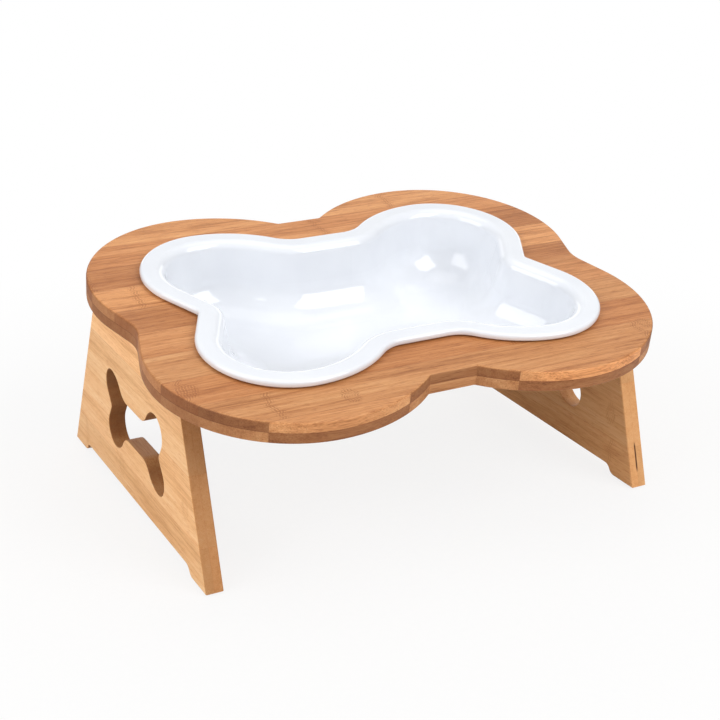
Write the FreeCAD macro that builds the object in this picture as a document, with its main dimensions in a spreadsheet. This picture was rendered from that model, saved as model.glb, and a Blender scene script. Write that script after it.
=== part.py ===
import FreeCAD, Part
import math
import os
import Sketcher

# Elevated dog bowl: a bone-shaped ceramic bowl hangs by its rim in a tilted bamboo tabletop, which stands
# on two bamboo legs.
# Millimetres, +Z up, +X along the bone. The origin lies on the floor, under the middle of the whole object.
# The tabletop and the bowl are drawn flat, in the tabletop's own frame (its top face is z = 0, its middle is
# x = y = 0), and are then tilted about X so that the front edge (-Y) is the lower one.

# Driving dimensions, millimetres and degrees
SIZES = {
    # stance of the tabletop
    "table_tilt": 9.0,
    "table_height": 139.2,
    # outline of the tabletop, one quarter of a bone
    "table_lobe_x": 87.5,
    "table_lobe_y": 52.0,
    "table_lobe_radius": 88.5,
    "table_shoulder_radius": 107.0,
    "table_waist": 113.5,
    "table_waist_round": 2.0,
    "table_notch_angle": 16.0,
    "table_notch_round": 30.0,
    "table_ply": 7.2,
    "table_edge_round": 1.5,
    "table_under_round": 0.5,
    # outline of the bowl's rim, one quarter of a bone
    "rim_lobe_x": 87.4,
    "rim_lobe_y": 49.6,
    "rim_lobe_radius": 54.3,
    "rim_shoulder_radius": 82.0,
    "rim_waist": 77.0,
    "rim_waist_round": 25.0,
    "rim_notch_angle": 26.0,
    "rim_notch_round": 5.0,
    # section of the bowl
    "rim_width": 16.0,
    "rim_thickness": 4.6,
    "rim_edge_round": 2.4,
    "rim_under_round": 1.4,
    "lip_round": 7.0,
    "wall_thickness": 4.5,
    "wall_draft": 9.0,
    "basin_depth": 48.0,
    "floor_thickness": 5.0,
    "floor_round": 28.0,
    "bottom_round": 31.0,
    "cutout_clearance": 1.5,
    # silicone dots between the rim and the wood
    "dot_radius": 2.1,
    "dot_thickness": 0.8,
    # leg panels, measured along Y from the tabletop's middle
    "leg_ply": 6.0,
    "leg_inset": 1.2,
    "leg_edge_round": 0.8,
    "foot_front": 102.4,
    "foot_rear": 153.0,
    "foot_length": 22.0,
    "foot_rise": 6.0,
    "foot_step_round": 6.0,
    "leg_front_flare": 16.5,
    "leg_rear_flare": 26.9,
    # bone-shaped cut-out of a leg, one quarter of it, and its middle
    "hole_y": 17.5,
    "hole_z": 61.0,
    "hole_lobe_x": 41.5,
    "hole_lobe_y": 16.0,
    "hole_lobe_radius": 12.0,
    "hole_shoulder_radius": 20.0,
    "hole_waist": 13.4,
    "hole_waist_round": 15.0,
    "hole_notch_angle": 35.0,
    "hole_notch_round": 3.0,
    # dowels between the legs and the tabletop
    "dowel_radius": 3.0,
    "dowel_in_table": 9.0,
    "dowel_in_leg": 19.0,
    "dowel_pitch": 48.0,
    "dowel_clearance": 0.05,
    "dowel_end_room": 1.0,
    # non-slip pads under the feet
    "pad_thickness": 0.8,
    "pad_inset": 1.5,
    "pad_round": 2.0,
}

# Distances by which an outline of the bowl lies inside the rim's, as signed sizes
WALL_INSET = {"rim_width": 1, "wall_thickness": -1}
WALL_FOOT_INSET = {**WALL_INSET, "wall_draft": 1}
CUTOUT_INSET = {**WALL_INSET, "cutout_clearance": -1}
INSIDE_INSET = {"rim_width": 1}
INSIDE_FLOOR_INSET = {"rim_width": 1, "wall_draft": 1}

TOLERANCE = 1e-4
SHARP_ANGLE = math.radians(5)
X_AXIS = FreeCAD.Vector(1, 0, 0)
Z_AXIS = FreeCAD.Vector(0, 0, 1)

doc = FreeCAD.newDocument("elevated_dog_bowl")
sheet = doc.addObject("Spreadsheet::Sheet", "sizes")
for row, (alias, number) in enumerate(SIZES.items(), start=1):
    sheet.set("A%d" % row, alias)
    sheet.set("B%d" % row, str(number))
    sheet.setAlias("B%d" % row, alias)
doc.recompute()


def size(alias):
    return float(sheet.get(alias))


def total(inset):
    return sum(sign * size(alias) for alias, sign in inset.items())


def total_expression(inset):
    return " + ".join("%d * sizes.%s" % (sign, alias) for alias, sign in inset.items()) or "0"


class BoneQuarter:
    """One quarter of a bone outline, from the notch on X to the waist on Y.

    It runs round the lobe and over the shoulder. The inset moves it inwards, with the same centres.
    """

    def __init__(self, family, inset):
        move = total(inset)
        self.lobe = (size(family + "_lobe_x"), size(family + "_lobe_y"))
        self.radius = size(family + "_lobe_radius") - move
        self.shoulder = size(family + "_shoulder_radius") - move
        self.waist = size(family + "_waist") - move
        self.waist_round = size(family + "_waist_round") + move
        self.notch_round = size(family + "_notch_round") + move
        self.notch_angle = size(family + "_notch_angle")
        slope = math.radians(self.notch_angle)
        lobe_x, lobe_y = self.lobe
        self.notch_end = (lobe_x + self.radius * math.cos(slope), lobe_y - self.radius * math.sin(slope))
        apex = self.notch_end[0] - self.notch_end[1] * math.tan(slope)
        self.notch_centre = (apex + self.notch_round / math.cos(slope), 0)
        self.notch_start = (self.notch_centre[0] - self.notch_round * math.cos(slope),
                            self.notch_round * math.sin(slope))
        self.notch_x = self.notch_centre[0] - self.notch_round
        self.shoulder_centre = (lobe_x, lobe_y + self.radius - self.shoulder)
        rise = self.waist + self.waist_round - self.shoulder_centre[1]
        run = math.sqrt((self.shoulder + self.waist_round) ** 2 - rise ** 2)
        self.shoulder_angle = math.degrees(math.atan2(run, rise))
        self.waist_centre = (lobe_x - run, self.waist + self.waist_round)


# Places that follow from the driving dimensions
TILT = math.radians(size("table_tilt"))
TABLE_THICKNESS = 2 * size("table_ply")
LEG_THICKNESS = 2 * size("leg_ply")
LEG_OUTER_X = BoneQuarter("table", {}).notch_x - size("leg_inset")
FRONT_REACH = ((size("table_lobe_y") + size("table_lobe_radius") - size("table_edge_round")) * math.cos(TILT)
               + size("table_edge_round") * (1 - math.sin(TILT)))
MIDDLE_Y = (FRONT_REACH - size("foot_rear")) / 2
RIM_TOP = size("dot_thickness") + size("rim_thickness")
BASIN_FLOOR = RIM_TOP - size("basin_depth")
BASIN_BOTTOM = BASIN_FLOOR - size("floor_thickness")
TABLE_PLACEMENT = FreeCAD.Placement(FreeCAD.Vector(0, MIDDLE_Y, size("table_height")),
                                    FreeCAD.Rotation(X_AXIS, size("table_tilt")))


def underside(y):
    """Height of the tabletop's underside over the floor, y measured from the tabletop's middle."""
    return size("table_height") + y * math.tan(TILT) - TABLE_THICKNESS / math.cos(TILT)


def leg_corner(side):
    """Where a leg's front (-1) or rear (1) edge meets the tabletop's underside."""
    end = "front" if side < 0 else "rear"
    foot = size("foot_" + end)
    slope = math.tan(math.radians(size("leg_%s_flare" % end)))
    climb = (underside(side * foot) - size("pad_thickness")) / (1 + side * slope * math.tan(TILT))
    return side * (foot - slope * climb), size("pad_thickness") + climb


def dowel_places():
    """Y of one leg's dowels in the tabletop's frame, spread about the middle of the leg's top edge."""
    middle = (leg_corner(-1)[0] + leg_corner(1)[0]) / 2
    middle_on_table = middle / math.cos(TILT) - TABLE_THICKNESS * math.tan(TILT)
    return [middle_on_table + step * size("dowel_pitch") for step in (-1, 0, 1)]


# Helpers for bodies and sketches
def origin_plane(body, role):
    return next(item for item in body.Origin.OriginFeatures if item.Role == role)


def new_sketch(body, name, role, height="0"):
    """A sketch on one of the body's own planes, lifted by an expression."""
    sketch = body.newObject("Sketcher::SketchObject", name)
    sketch.AttachmentSupport = [(origin_plane(body, role), "")]
    sketch.MapMode = "FlatFace"
    sketch.setExpression("AttachmentOffset.Base.z", height)
    return sketch


def constrain(sketch, name, expression, *definition):
    """Add a named dimension that follows the sheet."""
    index = sketch.addConstraint(Sketcher.Constraint(*definition))
    sketch.renameConstraint(index, name)
    sketch.setExpression("Constraints." + name, expression)


def join(sketch, joints):
    for joint in joints:
        sketch.addConstraint(Sketcher.Constraint(*joint))


def line(start, end):
    return Part.LineSegment(FreeCAD.Vector(*start, 0), FreeCAD.Vector(*end, 0))


def arc(centre, radius, start, end):
    circle = Part.Circle(FreeCAD.Vector(*centre, 0), Z_AXIS, radius)
    return Part.ArcOfCircle(circle, math.radians(start), math.radians(end))


def add_feature(body, kind, name, expressions=None, **settings):
    """Add a PartDesign feature with plain settings and with properties that follow the sheet."""
    feature = body.newObject("PartDesign::" + kind, name)
    for key, value in settings.items():
        setattr(feature, key, value)
    for key, expression in (expressions or {}).items():
        feature.setExpression(key, expression)
    body.Tip = feature
    doc.recompute()
    return feature


def add_cut(body, kind, name, expressions=None, **settings):
    """Add a feature that takes material away, and make sure that it does."""
    before = body.Shape.Volume
    feature = add_feature(body, kind, name, expressions, **settings)
    if body.Shape.Volume > before - TOLERANCE:
        raise RuntimeError("%s cuts nothing from %s" % (name, body.Label))
    return feature


def is_sharp(shape, edge):
    """True where the two faces of an edge meet at an angle."""
    middle = edge.valueAt((edge.FirstParameter + edge.LastParameter) / 2)
    normals = [face.normalAt(*face.Surface.parameter(middle))
               for face in shape.ancestorsOfType(edge, Part.Face)]
    return normals[0].getAngle(normals[1]) > SHARP_ANGLE


def round_edges(body, name, radius, axis, level, spared):
    """Round the sharp edges in the plane at one level of an axis, except where spared(middle) is true."""
    base = body.Tip
    names = []
    for index, edge in enumerate(base.Shape.Edges, start=1):
        reach = [getattr(edge.BoundBox, axis + end) for end in ("Min", "Max")]
        if any(abs(value - level) > TOLERANCE for value in reach):
            continue
        if spared(edge.BoundBox.Center) or not is_sharp(base.Shape, edge):
            continue
        names.append("Edge%d" % index)
    add_feature(body, "Fillet", name, {"Radius": "sizes." + radius}, Base=(base, names))


def on_quarter_plane(point):
    """True on the two planes where a quarter is mirrored."""
    return point.x < TOLERANCE or point.y < TOLERANCE


def mirror_quarter(body):
    """Turn a body's quarter into the whole piece."""
    for role in ("YZ_Plane", "XZ_Plane"):
        add_feature(body, "Mirrored", "mirror_" + role, TransformMode="Whole shape",
                    MirrorPlane=(origin_plane(body, role), [""]), Refine=True)


def draw_bone_quarter(sketch, family, inset):
    """Draw and constrain a closed quarter of a bone outline."""
    quarter = BoneQuarter(family, inset)
    axis_line, notch_arc, notch_line, lobe_arc, shoulder_arc, waist_arc, waist_line, middle_line = [
        sketch.addGeometry(item) for item in (
            line((0, 0), (quarter.notch_x, 0)),
            arc(quarter.notch_centre, quarter.notch_round, 180 - quarter.notch_angle, 180),
            line(quarter.notch_start, quarter.notch_end),
            arc(quarter.lobe, quarter.radius, -quarter.notch_angle, 90),
            arc(quarter.shoulder_centre, quarter.shoulder, 90, 90 + quarter.shoulder_angle),
            arc(quarter.waist_centre, quarter.waist_round, 270, 270 + quarter.shoulder_angle),
            line((quarter.waist_centre[0], quarter.waist), (0, quarter.waist)),
            line((0, quarter.waist), (0, 0)),
        )]
    join(sketch, (
        ("Coincident", axis_line, 1, -1, 1),
        ("Coincident", axis_line, 2, notch_arc, 2),
        ("Tangent", notch_arc, 1, notch_line, 1),
        ("Tangent", notch_line, 2, lobe_arc, 1),
        ("Tangent", lobe_arc, 2, shoulder_arc, 1),
        ("Tangent", shoulder_arc, 2, waist_arc, 2),
        ("Tangent", waist_arc, 1, waist_line, 1),
        ("Coincident", waist_line, 2, middle_line, 1),
        ("Coincident", middle_line, 2, -1, 1),
        ("Horizontal", axis_line),
        ("Horizontal", waist_line),
        ("Vertical", middle_line),
        ("Vertical", lobe_arc, 3, lobe_arc, 2),
        ("PointOnObject", notch_arc, 3, -1),
    ))
    cell = "sizes." + family
    inwards = " - (%s)" % total_expression(inset)
    outwards = " + (%s)" % total_expression(inset)
    constrain(sketch, "lobe_x", cell + "_lobe_x", "DistanceX", -1, 1, lobe_arc, 3, quarter.lobe[0])
    constrain(sketch, "lobe_y", cell + "_lobe_y", "DistanceY", -1, 1, lobe_arc, 3, quarter.lobe[1])
    constrain(sketch, "lobe", cell + "_lobe_radius" + inwards, "Radius", lobe_arc, quarter.radius)
    constrain(sketch, "shoulder", cell + "_shoulder_radius" + inwards,
              "Radius", shoulder_arc, quarter.shoulder)
    constrain(sketch, "waist", cell + "_waist" + inwards, "DistanceY", -1, 1, waist_line, 2, quarter.waist)
    constrain(sketch, "waist_round", cell + "_waist_round" + outwards,
              "Radius", waist_arc, quarter.waist_round)
    constrain(sketch, "notch_round", cell + "_notch_round" + outwards,
              "Radius", notch_arc, quarter.notch_round)
    constrain(sketch, "notch_angle", "90 - %s_notch_angle" % cell,
              "Angle", notch_line, math.radians(90 - quarter.notch_angle))


# Tabletop: two glued plies with a common outline and cut-out
def make_table_ply(label, top, shown_level, shown_round, drill_level, drill_depth):
    """One ply, its shown face rounded at the edge; top, drill_level and drill_depth are expressions."""
    body = doc.addObject("PartDesign::Body", label)
    outline = new_sketch(body, "outline", "XY_Plane", top)
    draw_bone_quarter(outline, "table", {})
    add_feature(body, "Pad", "board", {"Length": "sizes.table_ply"}, Profile=outline, Reversed=True)
    round_edges(body, "eased_edge", shown_round, "Z", shown_level, on_quarter_plane)
    cutout = new_sketch(body, "cutout", "XY_Plane", top)
    draw_bone_quarter(cutout, "rim", CUTOUT_INSET)
    add_cut(body, "Pocket", "bowl_cutout", {"Length": "sizes.table_ply"}, Profile=cutout)
    mirror_quarter(body)
    drilling = new_sketch(body, "drilling", "XY_Plane", drill_level)
    for side in (-1, 1):
        for place in dowel_places():
            draw_dowel_hole(drilling, side * (LEG_OUTER_X - LEG_THICKNESS / 2), place)
    add_cut(body, "Pocket", "dowel_holes", {"Length": drill_depth}, Profile=drilling, Reversed=True)
    body.Placement = TABLE_PLACEMENT
    return body


def draw_dowel_hole(sketch, x, y):
    circle = sketch.addGeometry(Part.Circle(FreeCAD.Vector(x, y, 0), Z_AXIS, size("dowel_radius")))
    constrain(sketch, "radius%d" % circle, "sizes.dowel_radius + sizes.dowel_clearance",
              "Radius", circle, size("dowel_radius") + size("dowel_clearance"))


# Bowl: a flange with a drafted and rounded basin
def make_bowl(label):
    body = doc.addObject("PartDesign::Body", label)
    rim_top = "sizes.dot_thickness + sizes.rim_thickness"
    floor_level = rim_top + " - sizes.basin_depth"

    def outline(name, height, inset):
        sketch = new_sketch(body, name, "XY_Plane", height)
        draw_bone_quarter(sketch, "rim", inset)
        return sketch

    rim = outline("rim", "sizes.dot_thickness", {})
    add_feature(body, "Pad", "flange", {"Length": "sizes.rim_thickness"}, Profile=rim)
    round_edges(body, "rounded_rim", "rim_edge_round", "Z", RIM_TOP, on_quarter_plane)
    round_edges(body, "rounded_under_rim", "rim_under_round", "Z", size("dot_thickness"), on_quarter_plane)
    wall_top = outline("wall_top", "sizes.dot_thickness", WALL_INSET)
    wall_foot = outline("wall_foot", floor_level + " - sizes.floor_thickness", WALL_FOOT_INSET)
    add_feature(body, "AdditiveLoft", "basin", Profile=wall_top, Sections=[wall_foot], Ruled=True)
    inside_top = outline("inside_top", rim_top, INSIDE_INSET)
    inside_floor = outline("inside_floor", floor_level, INSIDE_FLOOR_INSET)
    add_cut(body, "SubtractiveLoft", "inside", Profile=inside_top, Sections=[inside_floor], Ruled=True)
    round_edges(body, "rounded_floor", "floor_round", "Z", BASIN_FLOOR, on_quarter_plane)
    round_edges(body, "rounded_bottom", "bottom_round", "Z", BASIN_BOTTOM, on_quarter_plane)
    round_edges(body, "rounded_lip", "lip_round", "Z", RIM_TOP, on_quarter_plane)
    mirror_quarter(body)
    body.Placement = TABLE_PLACEMENT
    return body


# Legs: panels of two glued plies, wider at the floor, with a bone-shaped cut-out and two feet
def draw_leg(sketch):
    """Draw and constrain a leg's side view: feet on pads, rounded steps, flared edges and slanted top."""
    level = size("pad_thickness")
    raised = level + size("foot_rise")
    bend = size("foot_step_round")
    turn = math.degrees(math.acos(1 - size("foot_rise") / (2 * bend)))
    step = 2 * bend * math.sin(math.radians(turn))
    front, rear = -size("foot_front"), size("foot_rear")
    front_heel, rear_heel = front + size("foot_length"), rear - size("foot_length")
    front_top, rear_top = leg_corner(-1), leg_corner(1)
    items = [sketch.addGeometry(item) for item in (
        line((front, level), (front_heel, level)),
        arc((front_heel, level + bend), bend, 270, 270 + turn),
        arc((front_heel + step, raised - bend), bend, 90, 90 + turn),
        line((front_heel + step, raised), (rear_heel - step, raised)),
        arc((rear_heel - step, raised - bend), bend, 90 - turn, 90),
        arc((rear_heel, level + bend), bend, 270 - turn, 270),
        line((rear_heel, level), (rear, level)),
        line((rear, level), rear_top),
        line(rear_top, front_top),
        line(front_top, (front, level)),
    )]
    (front_foot, front_low, front_high, raised_line, rear_high, rear_low, rear_foot, rear_edge, top_line,
     front_edge) = items
    seat = sketch.addGeometry(Part.Point(FreeCAD.Vector(0, underside(0), 0)), True)
    join(sketch, (
        ("Tangent", front_foot, 2, front_low, 1),
        ("Tangent", front_low, 2, front_high, 2),
        ("Tangent", front_high, 1, raised_line, 1),
        ("Tangent", raised_line, 2, rear_high, 2),
        ("Tangent", rear_high, 1, rear_low, 1),
        ("Tangent", rear_low, 2, rear_foot, 1),
        ("Coincident", rear_foot, 2, rear_edge, 1),
        ("Coincident", rear_edge, 2, top_line, 1),
        ("Coincident", top_line, 2, front_edge, 1),
        ("Coincident", front_edge, 2, front_foot, 1),
        ("Horizontal", front_foot),
        ("Horizontal", raised_line),
        ("Horizontal", rear_foot),
        ("PointOnObject", seat, 1, -2),
        ("PointOnObject", seat, 1, top_line),
    ))
    constrain(sketch, "front", "-sizes.foot_front", "DistanceX", -1, 1, front_foot, 1, front)
    constrain(sketch, "rear", "sizes.foot_rear", "DistanceX", -1, 1, rear_foot, 2, rear)
    constrain(sketch, "front_level", "sizes.pad_thickness", "DistanceY", -1, 1, front_foot, 1, level)
    constrain(sketch, "rear_level", "sizes.pad_thickness", "DistanceY", -1, 1, rear_foot, 2, level)
    constrain(sketch, "front_length", "sizes.foot_length", "Distance", front_foot, size("foot_length"))
    constrain(sketch, "rear_length", "sizes.foot_length", "Distance", rear_foot, size("foot_length"))
    constrain(sketch, "raised", "sizes.pad_thickness + sizes.foot_rise",
              "DistanceY", -1, 1, raised_line, 1, raised)
    for index, bent in enumerate((front_low, front_high, rear_high, rear_low)):
        constrain(sketch, "bend%d" % index, "sizes.foot_step_round", "Radius", bent, bend)
    constrain(sketch, "front_flare", "-90 - sizes.leg_front_flare", "Angle", front_edge,
              -math.radians(90 + size("leg_front_flare")))
    constrain(sketch, "rear_flare", "90 + sizes.leg_rear_flare", "Angle", rear_edge,
              math.radians(90 + size("leg_rear_flare")))
    constrain(sketch, "top_slant", "sizes.table_tilt - 180", "Angle", top_line, TILT - math.pi)
    constrain(sketch, "top_height", "sizes.table_height - 2 * sizes.table_ply / cos(sizes.table_tilt)",
              "DistanceY", -1, 1, seat, 1, underside(0))


def make_leg_ply(label, low_x, shown_level):
    """One ply of a leg from low_x on; shown_level is its face in the open, 0 or the ply's thickness."""
    body = doc.addObject("PartDesign::Body", label)
    side_view = new_sketch(body, "side_view", "YZ_Plane")
    draw_leg(side_view)
    add_feature(body, "Pad", "panel", {"Length": "sizes.leg_ply"}, Profile=side_view)
    hole = new_sketch(body, "hole", "YZ_Plane")
    hole.setExpression("AttachmentOffset.Base.x", "sizes.hole_y")
    hole.setExpression("AttachmentOffset.Base.y", "sizes.hole_z")
    draw_bone_quarter(hole, "hole", {})
    quarter = add_cut(body, "Pocket", "bone_quarter", {"Length": "sizes.leg_ply"},
                      Profile=hole, Reversed=True)
    mirrors = [add_feature(body, "Mirrored", "mirror_" + axis, MirrorPlane=(hole, [axis]))
               for axis in ("V_Axis", "H_Axis")]
    add_cut(body, "MultiTransform", "bone_hole", Originals=[quarter], Transformations=mirrors, Refine=True)
    drilling = new_sketch(body, "drilling", "XY_Plane",
                          "sizes.table_height - 2 * sizes.table_ply * cos(sizes.table_tilt)")
    drilling.AttachmentOffset = FreeCAD.Placement(drilling.AttachmentOffset.Base,
                                                  FreeCAD.Rotation(X_AXIS, size("table_tilt")))
    drilling.setExpression("AttachmentOffset.Base.y", "2 * sizes.table_ply * sin(sizes.table_tilt)")
    glue_level = size("leg_ply") - shown_level
    for place in dowel_places():
        draw_dowel_hole(drilling, glue_level, place)
    add_cut(body, "Pocket", "dowel_holes", {"Length": "sizes.dowel_in_leg + sizes.dowel_end_room"},
            Profile=drilling)
    round_edges(body, "eased_edges", "leg_edge_round", "X", shown_level,
                lambda point: point.z > underside(point.y) - TOLERANCE)
    body.Placement.Base = FreeCAD.Vector(low_x, MIDDLE_Y, 0)
    return body


# Small pieces
def make_dowels(label, x):
    """The glued dowels of one leg, square to the tabletop, as one group."""
    dowels = []
    for place in dowel_places():
        dowel = doc.addObject("Part::Cylinder", label + "_dowel")
        dowel.setExpression("Radius", "sizes.dowel_radius")
        dowel.setExpression("Height", "sizes.dowel_in_table + sizes.dowel_in_leg")
        low_end = FreeCAD.Vector(x, place, -TABLE_THICKNESS - size("dowel_in_leg"))
        dowel.Placement = TABLE_PLACEMENT.multiply(FreeCAD.Placement(low_end, FreeCAD.Rotation()))
        dowels.append(dowel)
    group = doc.addObject("Part::Compound", label)
    group.Links = dowels
    return group


def make_pad(label, side_x, low_y):
    """A thin pad with rounded corners under one foot, inset from the foot's sides."""
    block = doc.addObject("Part::Box", label + "_block")
    block.setExpression("Length", "2 * sizes.leg_ply - 2 * sizes.pad_inset")
    block.setExpression("Width", "sizes.foot_length - 2 * sizes.pad_inset")
    block.setExpression("Height", "sizes.pad_thickness")
    low_x = side_x * (LEG_OUTER_X - LEG_THICKNESS / 2) - LEG_THICKNESS / 2
    block.Placement.Base = FreeCAD.Vector(low_x + size("pad_inset"), low_y + MIDDLE_Y + size("pad_inset"), 0)
    doc.recompute()
    corners = [index for index, edge in enumerate(block.Shape.Edges, start=1)
               if edge.BoundBox.XLength < TOLERANCE and edge.BoundBox.YLength < TOLERANCE]
    pad = doc.addObject("Part::Fillet", label)
    pad.Base = block
    pad.Edges = [(corner, size("pad_round"), size("pad_round")) for corner in corners]
    return pad


def make_dot(label, side_x, side_y):
    """A flat dot on the wood under one lobe of the rim, in the middle of the strip that the rim covers."""
    dot = doc.addObject("Part::Cylinder", label)
    dot.setExpression("Radius", "sizes.dot_radius")
    dot.setExpression("Height", "sizes.dot_thickness")
    rim = BoneQuarter("rim", {})
    reach = (rim.radius - total(CUTOUT_INSET) / 2) * math.sqrt(0.5)
    place = FreeCAD.Vector(side_x * (rim.lobe[0] + reach), side_y * (rim.lobe[1] + reach), 0)
    dot.Placement = TABLE_PLACEMENT.multiply(FreeCAD.Placement(place, FreeCAD.Rotation()))
    return dot


# The whole object
pieces = [
    make_table_ply("tabletop_upper_ply", "0", 0, "table_edge_round",
                   "-sizes.table_ply", "sizes.dowel_in_table + sizes.dowel_end_room - sizes.table_ply"),
    make_table_ply("tabletop_lower_ply", "-sizes.table_ply", -TABLE_THICKNESS, "table_under_round",
                   "-2 * sizes.table_ply", "sizes.table_ply"),
    make_bowl("ceramic_bowl"),
    make_leg_ply("left_leg_outer_ply", -LEG_OUTER_X, 0),
    make_leg_ply("left_leg_inner_ply", -LEG_OUTER_X + size("leg_ply"), size("leg_ply")),
    make_leg_ply("right_leg_inner_ply", LEG_OUTER_X - LEG_THICKNESS, 0),
    make_leg_ply("right_leg_outer_ply", LEG_OUTER_X - size("leg_ply"), size("leg_ply")),
]
for side_x, side_name in ((-1, "left"), (1, "right")):
    pieces.append(make_dowels(side_name + "_leg_dowels", side_x * (LEG_OUTER_X - LEG_THICKNESS / 2)))
    pieces.append(make_pad("foot_pad_front_" + side_name, side_x, -size("foot_front")))
    pieces.append(make_pad("foot_pad_rear_" + side_name, side_x, size("foot_rear") - size("foot_length")))
    for side_y, row_name in ((-1, "front"), (1, "rear")):
        pieces.append(make_dot("rim_dot_%s_%s" % (row_name, side_name), side_x, side_y))
doc.recompute()

# Nothing is written unless every object and every piece is sound
for item in doc.Objects:
    if "Invalid" in item.State or "Error" in item.State:
        raise RuntimeError("%s failed: %s" % (item.Label, item.State))
for piece in pieces:
    if piece.Shape.isNull() or not piece.Shape.isValid():
        raise RuntimeError("%s has no valid shape" % piece.Label)

os.makedirs("parts", exist_ok=True)
for piece in pieces:
    piece.Shape.exportStep("parts/%s.step" % piece.Label)
    box = piece.Shape.optimalBoundingBox()
    print("%-22s %d solid(s) %9.0f mm3  x %.1f..%.1f  y %.1f..%.1f  z %.1f..%.1f" % (
        piece.Label, len(piece.Shape.Solids), piece.Shape.Volume,
        box.XMin, box.XMax, box.YMin, box.YMax, box.ZMin, box.ZMax))
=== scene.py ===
"""Looks, light and camera for the elevated dog bowl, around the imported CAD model. Metres, +Z up."""

import math

import bpy
from mathutils import Matrix, Vector

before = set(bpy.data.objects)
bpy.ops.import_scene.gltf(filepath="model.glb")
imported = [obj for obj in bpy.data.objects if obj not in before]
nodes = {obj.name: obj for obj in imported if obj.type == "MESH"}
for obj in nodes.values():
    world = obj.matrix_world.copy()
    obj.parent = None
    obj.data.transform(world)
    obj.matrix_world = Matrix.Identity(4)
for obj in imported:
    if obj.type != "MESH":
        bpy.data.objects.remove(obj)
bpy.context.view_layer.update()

# The tabletop's own frame: its top face is z = 0 and its middle is x = y = 0
TILT = math.radians(9)
TABLE_MIDDLE = (0, -0.00722, 0.1392)

# Sizes on the wood and the bowl, in mm
PLY = 7.2
LEG_MIDDLE_X = 158.7
LEG_INNER_FACE = -5.6
LEG_HOLE_MIDDLE, LEG_HOLE_REACH = (17.5, 61.0), (58.0, 34.0)
LEG_SLIT_HEIGHT, LEG_SLIT_REACH = 21.0, 7.0
TABLE_UNDERSIDE = -14.6
# Where painted light from the right falls on the front edge of the right lobe
LIT_EDGE_ACROSS, LIT_EDGE_ALONG = (-126.0, -122.0), (40.0, 60.0)
SOLE_LEVEL = -42.0

# Photograph's camera
CAMERA_PLACE = Vector((-0.44662, -0.85235, 0.47322))
CAMERA_AZIMUTH = math.radians(27.471)
CAMERA_DROP = math.radians(21.979)
CAMERA_ROLL = math.radians(0.294)
CAMERA_LENS = 75.227
CAMERA_SENSOR = 36

MM = 1000


def tone(red, green, blue):
    """A display colour, 0 to 255, as scene-linear RGBA."""
    channels = []
    for value in (red, green, blue):
        value /= 255
        channels.append(value / 12.92 if value <= 0.04045 else ((value + 0.055) / 1.055) ** 2.4)
    return (*channels, 1)


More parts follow.
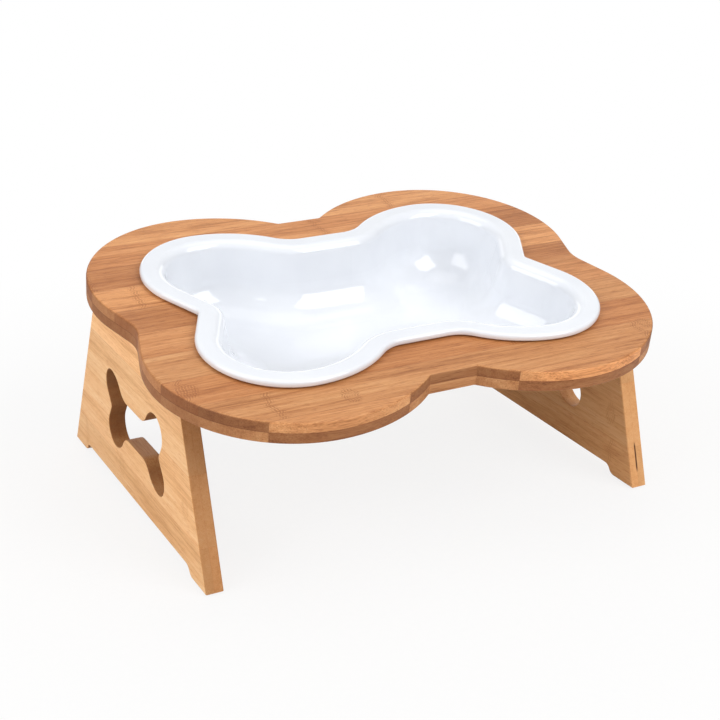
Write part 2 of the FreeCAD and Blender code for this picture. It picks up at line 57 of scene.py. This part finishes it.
class Shade:
    """A material's node tree, built with small calls that return sockets."""

    def __init__(self, name):
        self.material = bpy.data.materials.new(name)
        self.material.use_nodes = True
        self.tree = self.material.node_tree
        self.shader = next(n for n in self.tree.nodes if n.type == "BSDF_PRINCIPLED")

    def node(self, kind, **settings):
        made = self.tree.nodes.new("ShaderNode" + kind)
        for key, value in settings.items():
            setattr(made, key, value)
        return made

    def put(self, socket, value):
        if isinstance(value, bpy.types.NodeSocket):
            self.tree.links.new(value, socket)
        elif value is not None:
            socket.default_value = value

    def math(self, operation, *values):
        made = self.node("Math", operation=operation)
        for socket, value in zip(made.inputs, values):
            self.put(socket, value)
        return made.outputs[0]

    def vector(self, operation, *values):
        made = self.node("VectorMath", operation=operation)
        for socket, value in zip(made.inputs, values):
            self.put(socket, value)
        return made.outputs[0]

    def scaled(self, vector, factor):
        made = self.node("VectorMath", operation="SCALE")
        self.put(made.inputs[0], vector)
        self.put(made.inputs["Scale"], factor)
        return made.outputs[0]

    def turned(self, vector, angle):
        """The vector turned about X."""
        made = self.node("VectorRotate", rotation_type="X_AXIS")
        self.put(made.inputs["Vector"], vector)
        made.inputs["Angle"].default_value = angle
        return made.outputs[0]

    def split(self, vector):
        made = self.node("SeparateXYZ")
        self.put(made.inputs[0], vector)
        return made.outputs[:3]

    def join(self, *values):
        made = self.node("CombineXYZ")
        for socket, value in zip(made.inputs, values):
            self.put(socket, value)
        return made.outputs[0]

    def noise(self, vector, scale=1.0, detail=2.0, distortion=0.0):
        made = self.node("TexNoise")
        self.put(made.inputs["Vector"], vector)
        made.inputs["Scale"].default_value = scale
        made.inputs["Detail"].default_value = detail
        made.inputs["Distortion"].default_value = distortion
        return made.outputs["Fac"]

    def cells(self, vector, scale=1.0):
        """Distance to the nearest of scattered points."""
        made = self.node("TexVoronoi")
        self.put(made.inputs["Vector"], vector)
        made.inputs["Scale"].default_value = scale
        return made.outputs["Distance"]

    def random(self, value):
        """A random number, 0 to 1, for a whole number."""
        made = self.node("TexWhiteNoise", noise_dimensions="1D")
        self.put(made.inputs["W"], value)
        return made.outputs["Value"]

    def fade(self, value, low, high, start=0.0, end=1.0):
        """A smooth step from start at low to end at high."""
        made = self.node("MapRange", interpolation_type="SMOOTHSTEP")
        for socket, number in zip(made.inputs, (value, low, high, start, end)):
            self.put(socket, number)
        return made.outputs[0]

    def ramp(self, value, stops, interpolation="LINEAR"):
        made = self.node("ValToRGB")
        made.color_ramp.interpolation = interpolation
        elements = made.color_ramp.elements
        while len(elements) < len(stops):
            elements.new(0.5)
        for element, (position, colour) in zip(elements, stops):
            element.position = position
            element.color = colour
        self.put(made.inputs[0], value)
        return made.outputs[0]

    def mix(self, factor, first, second, blend="MIX"):
        made = self.node("Mix", data_type="RGBA", blend_type=blend)
        self.put(made.inputs[0], factor)
        self.put(made.inputs[6], first)
        self.put(made.inputs[7], second)
        return made.outputs[2]

    def bump(self, height, strength, distance, normal=None):
        made = self.node("Bump")
        made.inputs["Strength"].default_value = strength
        made.inputs["Distance"].default_value = distance
        self.put(made.inputs["Height"], height)
        self.put(made.inputs["Normal"], normal)
        return made.outputs[0]

    def place(self):
        """The point on the object, in metres in the shared frame."""
        return self.node("TexCoord").outputs["Object"]

    def facing(self):
        """The surface's own normal."""
        return self.node("NewGeometry").outputs["Normal"]

    def finish(self, **sockets):
        """Set the shader's sockets; a double underscore stands for a space in a socket's name."""
        for name, value in sockets.items():
            self.put(self.shader.inputs[name.replace("__", " ")], value)
        return self.material


def grey(value):
    return (value, value, value, 1)


def warm(value):
    """A tone factor that turns redder as it darkens, as dark bamboo does."""
    return (value, value ** 1.3, value ** 1.6, 1) if value < 1 else grey(value)


RAMP_MARGIN = 40


def strip_tones(shade, across, bounds, tones):
    """A constant tone per strip: bounds in mm across the board, one more tone than bounds."""
    low, high = bounds[0] - RAMP_MARGIN, bounds[-1] + RAMP_MARGIN
    stops = [(0.0, warm(tones[0]))]
    for bound, value in zip(bounds, tones[1:]):
        stops.append(((bound - low) / (high - low), warm(value)))
    level = shade.node("MapRange", clamp=True)
    for socket, number in zip(level.inputs, (across, low, high, 0.0, 1.0)):
        shade.put(socket, number)
    return shade.ramp(level.outputs[0], stops, "CONSTANT")


def edge_mask(shade, n_depth):
    """1 on the edges of a board and 0 on its faces."""
    return shade.fade(shade.math("ABSOLUTE", n_depth), 0.45, 0.85, 1.0, 0.0)


def bamboo(name, grain, normal, colours, bounds, face_tones, edge_tones, seed, seam_depth, glue_share,
           node_marks=(), extra=None):
    """Laminated bamboo strips: grain and normal give (along, across, depth) sockets; sizes are in mm."""
    shade = Shade(name)
    along, across, depth = grain(shade)
    n_along, n_across, n_depth = normal(shade)

    # which strip a point is in, as a number that is constant over the strip
    face_tone = strip_tones(shade, across, bounds, face_tones)
    edge_tone = strip_tones(shade, across, bounds, edge_tones)
    index = strip_tones(shade, across, bounds, [0.05 + 0.09 * k for k in range(len(bounds) + 1)])
    ply = shade.math("SUBTRACT", shade.math("GREATER_THAN", depth, -seam_depth), 2.0)
    strip = shade.math("ADD", shade.math("MULTIPLY", index, 97.0 + seed), shade.math("MULTIPLY", ply, 13.7))
    chance = shade.random(strip)
    shift = shade.math("MULTIPLY", chance, 900.0)
    run = shade.math("ADD", along, shift)

    # grain at three widths, and short dark fibres
    def fibres(length, width, detail, distortion=0.0):
        return shade.noise(shade.join(shade.math("DIVIDE", run, length), shade.math("DIVIDE", across, width),
                                      shade.math("DIVIDE", depth, width)), detail=detail, distortion=distortion)

    broad = fibres(170.0, 11.0, 2.0, 0.4)
    bands = fibres(60.0, 2.2, 3.0, 0.3)
    fine = fibres(20.0, 0.60, 2.5)
    dashes = shade.fade(fibres(7.0, 0.42, 1.0), 0.58, 0.70)

    # knuckles of the cane: curved bands across a strip, at places that differ from strip to strip
    wobble = shade.noise(shade.join(shade.math("DIVIDE", run, 60.0), shade.math("DIVIDE", across, 9.0), chance))
    period = shade.math("ADD", shade.math("MULTIPLY", chance, 60.0), 215.0)
    phase = shade.math("FRACT", shade.math("DIVIDE", run, period))
    bent = shade.math("MULTIPLY", shade.math("SUBTRACT", wobble, 0.5), 14.0)
    gap = shade.math("ADD", shade.math("MULTIPLY", shade.math("SUBTRACT", phase, 0.5), period), bent)
    knuckle = shade.fade(shade.math("ABSOLUTE", gap), 0.6, 4.2, 1.0, 0.0)
    for mark_along, mark_across, mark_size in node_marks:
        step_along = shade.math("DIVIDE", shade.math("SUBTRACT", along, mark_along), mark_size)
        step_across = shade.math("DIVIDE", shade.math("SUBTRACT", across, mark_across), mark_size * 1.3)
        reach = shade.math("SQRT", shade.math("ADD", shade.math("MULTIPLY", step_along, step_along),
                                              shade.math("MULTIPLY", step_across, step_across)))
        rough_reach = shade.math("ADD", reach, shade.math("MULTIPLY", shade.math("SUBTRACT", wobble, 0.5), 0.9))
        ring = shade.math("MULTIPLY", shade.fade(rough_reach, 0.25, 0.75, 0.35, 1.0),
                          shade.fade(rough_reach, 0.8, 1.15, 1.0, 0.0))
        knuckle = shade.math("MAXIMUM", knuckle, ring)
    lines = shade.math("SINE", shade.math("ADD", shade.math("MULTIPLY", gap, 3.2),
                                          shade.math("MULTIPLY", fine, 9.0)))
    knuckle_lines = shade.math("MULTIPLY", knuckle, shade.fade(lines, -0.6, 0.9))

    # end grain: dark dots where the canes are cut across
    end = shade.fade(shade.math("ABSOLUTE", n_along), 0.35, 0.9)
    dots = shade.fade(shade.cells(shade.join(shade.math("DIVIDE", along, 6.0), shade.math("DIVIDE", across, 0.95),
                                             shade.math("DIVIDE", depth, 0.95))), 0.12, 0.42, 1.0, 0.0)
    edge = edge_mask(shade, n_depth)

    # glue lines between the strips and between the plies
    seams = None
    for bound in bounds:
        line = shade.math("ABSOLUTE", shade.math("SUBTRACT", across, bound))
        seams = line if seams is None else shade.math("MINIMUM", seams, line)
    seam = shade.fade(seams, 0.08, 0.42, 1.0, 0.0)
    layer = shade.math("ABSOLUTE", shade.math("ADD", depth, seam_depth))
    glue = shade.math("MULTIPLY", edge, shade.fade(layer, 0.10, 0.40, 1.0, 0.0))

    # colour
    light, middle, dark, endgrain = colours
    level = shade.math("ADD", shade.math("MULTIPLY", broad, 0.34),
                       shade.math("ADD", shade.math("MULTIPLY", bands, 0.30), shade.math("MULTIPLY", fine, 0.36)))
    colour = shade.ramp(level, [(0.34, dark), (0.49, middle), (0.66, light)])
    colour = shade.mix(shade.math("MULTIPLY", dashes, 0.42), colour, shade.mix(1.0, colour, dark, "MULTIPLY"))
    colour = shade.mix(shade.math("MULTIPLY", knuckle_lines, 0.6), colour, dark)
    ended = shade.mix(shade.math("MULTIPLY", dots, 0.55), endgrain, shade.mix(1.0, endgrain, middle, "MULTIPLY"))
    colour = shade.mix(shade.math("MULTIPLY", end, 0.62), colour, ended)
    tones = shade.mix(edge, face_tone, edge_tone)
    colour = shade.mix(1.0, colour, tones, "MULTIPLY")
    varied = shade.ramp(shade.random(shade.math("ADD", strip, 41.0)), [(0.0, grey(0.93)), (1.0, grey(1.06))])
    colour = shade.mix(1.0, colour, varied, "MULTIPLY")
    hue = shade.ramp(chance, [(0.0, (1.03, 0.985, 0.95, 1)), (0.5, (1, 1, 1, 1)), (1.0, (0.975, 1.01, 1.03, 1))])
    colour = shade.mix(1.0, colour, hue, "MULTIPLY")
    lined = shade.math("MAXIMUM", shade.math("MULTIPLY", seam, shade.math("MULTIPLY_ADD", edge, -0.2, 0.30)),
                       shade.math("MULTIPLY", glue, glue_share))
    colour = shade.mix(lined, colour, shade.mix(1.0, colour, dark, "MULTIPLY"))

    # Extra masks and tone factors: painted light on the right lobe's front edge, painted shade on the legs, and
    # the legs' slit.
    for mask, factor in extra(shade, along, across, depth, n_along, n_depth) if extra else ():
        colour = shade.mix(mask, colour, shade.mix(1.0, colour, warm(factor), "MULTIPLY"))

    # satin lacquer that lies a little unevenly over the fibres
    roughness = shade.math("ADD", shade.math("MULTIPLY", fine, 0.16),
                           shade.math("ADD", shade.math("MULTIPLY", end, 0.12), 0.44))
    height = shade.math("SUBTRACT", shade.math("ADD", shade.math("MULTIPLY", bands, 0.5), fine),
                        shade.math("ADD", shade.math("MULTIPLY", dashes, 0.6),
                                   shade.math("MULTIPLY", shade.math("MAXIMUM", seam, glue), 0.9)))
    return shade.finish(Base__Color=colour, Roughness=roughness, Normal=shade.bump(height, 0.22, 0.00025),
                        Coat__Weight=0.05, Coat__Roughness=0.42, Specular__IOR__Level=0.32)


def table_grain(shade):
    """Point in the tabletop's frame, in mm."""
    turned = shade.turned(shade.vector("SUBTRACT", shade.place(), TABLE_MIDDLE), -TILT)
    return shade.split(shade.scaled(turned, MM))


def table_normal(shade):
    return shade.split(shade.turned(shade.facing(), -TILT))


def leg_grain(shade):
    """Along the leg's grain, up the leg, and outwards from its glue line, in mm."""
    x, y, z = shade.split(shade.scaled(shade.place(), MM))
    return y, z, shade.math("SUBTRACT", shade.math("ABSOLUTE", x), LEG_MIDDLE_X)


def leg_normal(shade):
    x, y, z = shade.split(shade.facing())
    return y, z, x


def leg_painted_shade_and_slit(shade, along, across, depth, n_along, n_depth):
    """Masks and tone factors: painted shade on the faces towards the middle and on the cut-out walls, a dark line
    where the leg meets the tabletop that is painted contact shadow, and a slit.
    """
    def near(value, middle, reach, soft):
        off = shade.math("ABSOLUTE", shade.math("SUBTRACT", value, middle))
        return shade.fade(off, reach, reach + soft, 1.0, 0.0)

    x = shade.split(shade.scaled(shade.place(), MM))[0]
    edge = edge_mask(shade, n_depth)
    # Painted shade on the inner faces, which turn in under the tabletop.
    inner_face_shade = shade.fade(depth, LEG_INNER_FACE, LEG_INNER_FACE + 0.4, 1.0, 0.0)
    # Painted shade on the walls of the cut-out, darker in the recess.
    hole_along, hole_across = (near(value, middle, reach, 2.0) for value, middle, reach
                               in zip((along, across), LEG_HOLE_MIDDLE, LEG_HOLE_REACH))
    hole_wall_shade = shade.math("MULTIPLY", shade.math("MULTIPLY", hole_along, hole_across), edge)
    slit_place = shade.math("MULTIPLY", near(depth, 0.0, 0.3, 0.5),
                            near(across, LEG_SLIT_HEIGHT, LEG_SLIT_REACH, 4.0))
    right_front = shade.math("MULTIPLY", shade.fade(n_along, -0.8, -0.5, 1.0, 0.0), shade.fade(x, 0.0, 1.0))
    slit = shade.math("MULTIPLY", slit_place, right_front)
    # A dark joint line along the leg's top, painted as the contact shadow under the tabletop.
    joint_contact_shade = shade.fade(table_grain(shade)[2], TABLE_UNDERSIDE - 1.6, TABLE_UNDERSIDE)
    # Painted shade: inner faces 0.84, cut-out walls 0.60, contact shadow along the joint under the tabletop 0.50;
    # the slit 0.12.
    return (inner_face_shade, 0.84), (hole_wall_shade, 0.60), (joint_contact_shade, 0.50), (slit, 0.12)


def upper_painted_light(shade, along, across, depth, n_along, n_depth):
    """Mask and tone factor: painted light on the front edge of the right lobe, where the lamp from the right
    falls.
    """
    edge = edge_mask(shade, n_depth)
    front = shade.math("MULTIPLY", edge, shade.fade(across, *LIT_EDGE_ACROSS, 1.0, 0.0))
    return (shade.math("MULTIPLY", front, shade.fade(along, *LIT_EDGE_ALONG)), 1.28),


# Bamboo: caramel on the tabletop, honey on the legs
STRIP = 30.2
FIRST_BOUND = -129
TABLE_BOUNDS = [FIRST_BOUND + STRIP * k for k in range(9)]
TABLE_COLOURS = (tone(216, 160, 108), tone(194, 132, 82), tone(148, 90, 48), tone(150, 96, 56))
UPPER_FACE = [1.08, 0.95, 0.88, 1.02, 0.96, 0.82, 1.18, 0.78, 1.02, 1.16]
UPPER_EDGE = [1.22, 0.58, 0.64, 1.20, 1.08, 0.78, 1.02, 0.72, 0.92, 0.80]
LOWER_FACE = [0.92, 1.02, 0.96, 1.04, 0.90, 1.0, 0.95, 1.05, 0.93, 1.0]
LOWER_EDGE = [0.60, 0.98, 0.94, 0.80, 1.0, 0.85, 0.74, 1.0, 0.80, 0.96]
LEG_BOUNDS = [28.0, 71.0, 106.0]
LEG_COLOURS = (tone(250, 206, 154), tone(239, 185, 127), tone(208, 148, 90), tone(190, 134, 82))
LEG_FACE = [0.97, 1.02, 1.0, 1.04]
# Leg edge tones per strip: darker on the left leg as painted shade, lighter on the right leg as painted light
# from the right.
LEFT_LEG_SHADED_EDGE = [0.80, 0.82, 0.76, 0.82]
RIGHT_LEG_LIT_EDGE = [1.10, 1.14, 1.04, 1.0]

# Knuckles that show, each along the grain, across it and its size in mm
TABLE_KNUCKLES = ((-163, -82, 7), (-74, -119, 6), (152, -103, 5))
LEG_KNUCKLES = ((40, 24, 6), (-80, 46, 6))

upper_bamboo = bamboo("upper_bamboo", table_grain, table_normal, TABLE_COLOURS, TABLE_BOUNDS, UPPER_FACE,
                      UPPER_EDGE, seed=0.0, seam_depth=PLY, glue_share=0.45, node_marks=TABLE_KNUCKLES,
                      extra=upper_painted_light)
lower_bamboo = bamboo("lower_bamboo", table_grain, table_normal, TABLE_COLOURS, TABLE_BOUNDS, LOWER_FACE,
                      LOWER_EDGE, seed=5.3, seam_depth=PLY, glue_share=0.45)
leg_bamboos = {}
# The two legs are copies of one bamboo that differ only in the painted shade and light on their edges.
for side, edge_tones in (("left", LEFT_LEG_SHADED_EDGE), ("right", RIGHT_LEG_LIT_EDGE)):
    leg_bamboos[side + "_leg"] = bamboo(
        side + "_leg_bamboo", leg_grain, leg_normal, LEG_COLOURS, LEG_BOUNDS, LEG_FACE, edge_tones,
        seed=2.1, seam_depth=0.01, glue_share=0.12, node_marks=LEG_KNUCKLES, extra=leg_painted_shade_and_slit)


def glaze():
    """White glaze with a faint waviness, bare biscuit on the flat sole of the bowl."""
    shade = Shade("white_glaze")
    turned = shade.turned(shade.vector("SUBTRACT", shade.place(), TABLE_MIDDLE), -TILT)
    n_z = shade.split(shade.turned(shade.facing(), -TILT))[2]
    height = shade.split(shade.scaled(turned, MM))[2]
    cloud = shade.noise(turned, 26.0, 3.0)
    colour = shade.ramp(cloud, [(0.3, tone(227, 230, 236)), (0.7, tone(232, 235, 240))])
    low = shade.fade(height, SOLE_LEVEL, SOLE_LEVEL + 2.0, 1.0, 0.0)
    sole = shade.math("MULTIPLY", shade.fade(n_z, -0.995, -0.97, 1.0, 0.0), low)
    grit = shade.noise(turned, 900.0, 2.0)
    biscuit = shade.ramp(grit, [(0.3, tone(214, 205, 190)), (0.7, tone(232, 225, 212))])
    colour = shade.mix(sole, colour, biscuit)
    roughness = shade.math("ADD", shade.math("MULTIPLY", cloud, 0.05), shade.math("MULTIPLY", sole, 0.6))
    roughness = shade.math("ADD", roughness, 0.08)
    wave = shade.bump(shade.noise(turned, 42.0, 1.0), 0.05, 0.0012)
    rough = shade.bump(shade.math("MULTIPLY", grit, sole), 0.3, 0.0002, wave)
    return shade.finish(Base__Color=colour, Roughness=roughness, Normal=rough, IOR=1.52,
                        Coat__Weight=0.45, Coat__Roughness=0.05)


def beech():
    """Plain beech with short flecks, for the dowels."""
    shade = Shade("dowel_beech")
    turned = shade.turned(shade.vector("SUBTRACT", shade.place(), TABLE_MIDDLE), -TILT)
    x, y, z = shade.split(shade.scaled(turned, MM))
    grain = shade.noise(shade.join(shade.math("DIVIDE", x, 0.8), shade.math("DIVIDE", y, 0.8),
                                   shade.math("DIVIDE", z, 18.0)), detail=3.0)
    flecks = shade.fade(shade.noise(shade.join(shade.math("DIVIDE", x, 0.35), shade.math("DIVIDE", y, 0.35),
                                               shade.math("DIVIDE", z, 2.2))), 0.6, 0.7)
    colour = shade.ramp(grain, [(0.3, tone(196, 156, 114)), (0.7, tone(224, 190, 150))])
    colour = shade.mix(shade.math("MULTIPLY", flecks, 0.4), colour, tone(168, 122, 82))
    return shade.finish(Base__Color=colour, Roughness=shade.fade(grain, 0.2, 0.8, 0.55, 0.7),
                        Normal=shade.bump(grain, 0.2, 0.0002))


def silicone(name, dark, light, scale):
    """Soft matt silicone with a fine pebbled skin and a little dust."""
    shade = Shade(name)
    point = shade.place()
    pebble = shade.cells(point, scale)
    dust = shade.noise(point, 140.0, 4.0)
    colour = shade.ramp(dust, [(0.35, dark), (0.75, light)])
    return shade.finish(Base__Color=colour, Roughness=shade.fade(dust, 0.3, 0.7, 0.5, 0.72),
                        Normal=shade.bump(pebble, 0.3, 0.0002))


white_glaze = glaze()
dowel_beech = beech()
pad_silicone = silicone("pad_silicone", tone(38, 36, 35), tone(62, 58, 55), 1600.0)
dot_silicone = silicone("dot_silicone", tone(150, 124, 100), tone(172, 146, 120), 2200.0)


def dress(prefix, material):
    """Give every CAD node whose name starts with the prefix a material."""
    for name, node in nodes.items():
        if name.startswith(prefix):
            for slot in node.material_slots:
                slot.material = material


dress("tabletop_upper", upper_bamboo)
dress("tabletop_lower", lower_bamboo)
dress("ceramic", white_glaze)
for leg, leg_bamboo in leg_bamboos.items():
    dress(leg, leg_bamboo)
    dress(leg + "_dowels", dowel_beech)
dress("foot_pad", pad_silicone)
dress("rim_dot", dot_silicone)


# Studio: a wide floor just under the pads, whiter to the camera with distance from the object
FLOOR_SIZE = 9.0
FLOOR_DROP = 0.0002
FLOOR_GLOW = 0.84
FLOOR_NEAR, FLOOR_FAR = 0.20, 0.55


def flat_sheet(name, width, length, material):
    """A flat sheet about the origin, facing up."""
    mesh = bpy.data.meshes.new(name)
    half_x, half_y = width / 2, length / 2
    mesh.from_pydata([(-half_x, -half_y, 0), (half_x, -half_y, 0), (half_x, half_y, 0), (-half_x, half_y, 0)],
                     [], [(0, 1, 2, 3)])
    mesh.materials.append(material)
    made = bpy.data.objects.new(name, mesh)
    bpy.context.scene.collection.objects.link(made)
    return made


def white_floor():
    """White floor that reads as white to the camera and keeps a soft share of the object's shadow."""
    shade = Shade("white_floor")
    shade.shader.inputs["Roughness"].default_value = 0.9
    shade.shader.inputs["Specular IOR Level"].default_value = 0.1
    speckle = shade.noise(shade.place(), 220.0, 3.0)
    shade.put(shade.shader.inputs["Base Color"],
              shade.ramp(speckle, [(0.3, tone(222, 220, 218)), (0.7, tone(227, 225, 223))]))
    glow = shade.node("Emission")
    glow.inputs["Color"].default_value = (1, 1, 1, 1)
    glow.inputs["Strength"].default_value = 1.0
    blend = shade.node("MixShader")
    reach = shade.node("VectorMath", operation="LENGTH")
    shade.put(reach.inputs[0], shade.place())
    whiter = shade.fade(reach.outputs["Value"], FLOOR_NEAR, FLOOR_FAR, FLOOR_GLOW, 1.0)
    share = shade.math("MULTIPLY", shade.node("LightPath").outputs["Is Camera Ray"], whiter)
    output = next(n for n in shade.tree.nodes if n.type == "OUTPUT_MATERIAL")
    shade.put(blend.inputs[0], share)
    shade.put(blend.inputs[1], shade.shader.outputs[0])
    shade.put(blend.inputs[2], glow.outputs[0])
    shade.put(output.inputs["Surface"], blend.outputs[0])
    return shade.material


floor = flat_sheet("floor", FLOOR_SIZE, FLOOR_SIZE, white_floor())
floor.location.z = -FLOOR_DROP

# Sky that brightens upwards; the camera itself sees plain white
WORLD_LOW, WORLD_HIGH = 0.12, 0.57
world = bpy.data.worlds.new("studio")
world.use_nodes = True
bpy.context.scene.world = world
background = next(n for n in world.node_tree.nodes if n.type == "BACKGROUND")
sky = world.node_tree
upward = sky.nodes.new("ShaderNodeSeparateXYZ")
sky.links.new(sky.nodes.new("ShaderNodeTexCoord").outputs["Generated"], upward.inputs[0])
grade = sky.nodes.new("ShaderNodeMapRange")
grade.interpolation_type = "SMOOTHSTEP"
for socket, number in zip(grade.inputs[1:5], (0.0, 0.5, WORLD_LOW, WORLD_HIGH)):
    socket.default_value = number
sky.links.new(upward.outputs["Z"], grade.inputs["Value"])
strength = sky.nodes.new("ShaderNodeMath")
strength.operation = "MAXIMUM"
sky.links.new(sky.nodes.new("ShaderNodeLightPath").outputs["Is Camera Ray"], strength.inputs[0])
sky.links.new(grade.outputs[0], strength.inputs[1])
sky.links.new(strength.outputs[0], background.inputs["Strength"])
background.inputs["Color"].default_value = (1, 1, 1, 1)


def softbox(name, place, aim, width, length, power):
    """A lamp that shines from its place towards the aim and that the camera doesn't see."""
    light = bpy.data.lights.new(name, "AREA")
    light.shape = "RECTANGLE"
    light.size = width
    light.size_y = length
    light.energy = power
    made = bpy.data.objects.new(name, light)
    bpy.context.scene.collection.objects.link(made)
    made.location = place
    made.visible_camera = False
    made.rotation_mode = "QUATERNION"
    made.rotation_quaternion = (Vector(aim) - Vector(place)).to_track_quat("-Z", "Y")


AIM = (0, 0, 0.1)
softbox("top_softbox", (0.1, 0.1, 1.6), AIM, 1.2, 1.2, 3.8)
softbox("left_softbox", (-1.5, -0.2, 0.9), AIM, 1.5, 1.2, 15)
softbox("right_softbox", (0.68, -1.22, 1.12), AIM, 1.1, 1.2, 16)
softbox("back_softbox", (0.85, 1.75, 0.55), AIM, 2.2, 0.8, 6.5)

camera_data = bpy.data.cameras.new("camera")
camera = bpy.data.objects.new("camera", camera_data)
bpy.context.scene.collection.objects.link(camera)
camera_data.sensor_width = CAMERA_SENSOR
camera_data.lens = CAMERA_LENS
sin_a, cos_a = math.sin(CAMERA_AZIMUTH), math.cos(CAMERA_AZIMUTH)
sin_d, cos_d = math.sin(CAMERA_DROP), math.cos(CAMERA_DROP)
level_right = Vector((cos_a, -sin_a, 0))
level_up = Vector((sin_a * sin_d, cos_a * sin_d, cos_d))
ahead = Vector((sin_a * cos_d, cos_a * cos_d, -sin_d))
right = level_right * math.cos(CAMERA_ROLL) + level_up * math.sin(CAMERA_ROLL)
up = level_up * math.cos(CAMERA_ROLL) - level_right * math.sin(CAMERA_ROLL)
turn = Matrix((right, up, -ahead)).transposed()
camera.matrix_world = Matrix.Translation(CAMERA_PLACE) @ turn.to_4x4()
bpy.context.scene.camera = camera
bpy.context.scene.view_settings.view_transform = "Standard"
